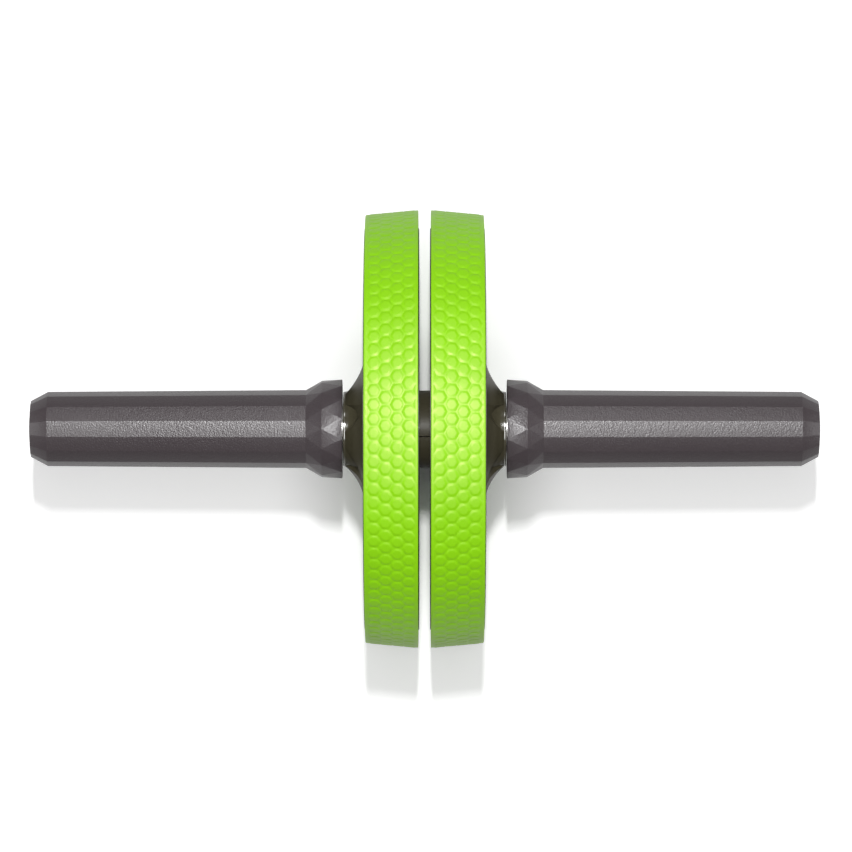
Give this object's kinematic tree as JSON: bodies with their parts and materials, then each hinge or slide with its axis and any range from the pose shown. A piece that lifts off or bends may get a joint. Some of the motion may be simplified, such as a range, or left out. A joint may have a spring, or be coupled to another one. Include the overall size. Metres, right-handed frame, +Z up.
{
  "type": "ab wheel roller",
  "caption": "Abdominal roller: rubber-treaded wheels turning side by side on a steel axle, between faceted soft grips that the hands hold while the wheels roll on the floor.",
  "frame": {"origin": "middle of the axle, midway between the two wheels", "axes": "+X along the axle to the right handle, +Y the way the wheels roll, +Z up from the floor"},
  "size_m": [0.343, 0.1898, 0.1898],
  "materials": {
    "tread_rubber": "satin lime rubber",
    "grip_rubber": "matte grained",
    "hub_plastic": "gloss black",
    "cap_plastic": "matte",
    "core_plastic": "matte",
    "bush_nylon": "natural nylon",
    "axle_steel": "drawn bar",
    "fastener_steel": "zinc plated"
  },
  "bodies": {
    "handlebar": {"axle": "axle_steel", "centre_spacer": "hub_plastic", "left_thrust_washer": "fastener_steel", "left_handle_core": "core_plastic", "left_grip": "grip_rubber", "left_end_washer": "fastener_steel", "left_end_screw": "fastener_steel", "left_end_cap": "cap_plastic", "right_thrust_washer": "fastener_steel", "right_handle_core": "core_plastic", "right_grip": "grip_rubber", "right_end_washer": "fastener_steel", "right_end_screw": "fastener_steel", "right_end_cap": "cap_plastic"},
    "left_wheel": {"left_wheel_body": "hub_plastic", "left_tyre": "tread_rubber", "left_inner_bush": "bush_nylon", "left_outer_bush": "bush_nylon"},
    "right_wheel": {"right_wheel_body": "hub_plastic", "right_tyre": "tread_rubber", "right_inner_bush": "bush_nylon", "right_outer_bush": "bush_nylon"}
  },
  "joints": [
    {"name": "left_wheel_spin", "type": "hinge", "parent": "handlebar", "child": "left_wheel", "pos_m": [-0.01415, 0, 0], "axis": [1, 0, 0], "continuous": true},
    {"name": "right_wheel_spin", "type": "hinge", "parent": "handlebar", "child": "right_wheel", "pos_m": [0.01415, 0, 0], "axis": [1, 0, 0], "continuous": true}
  ]
}
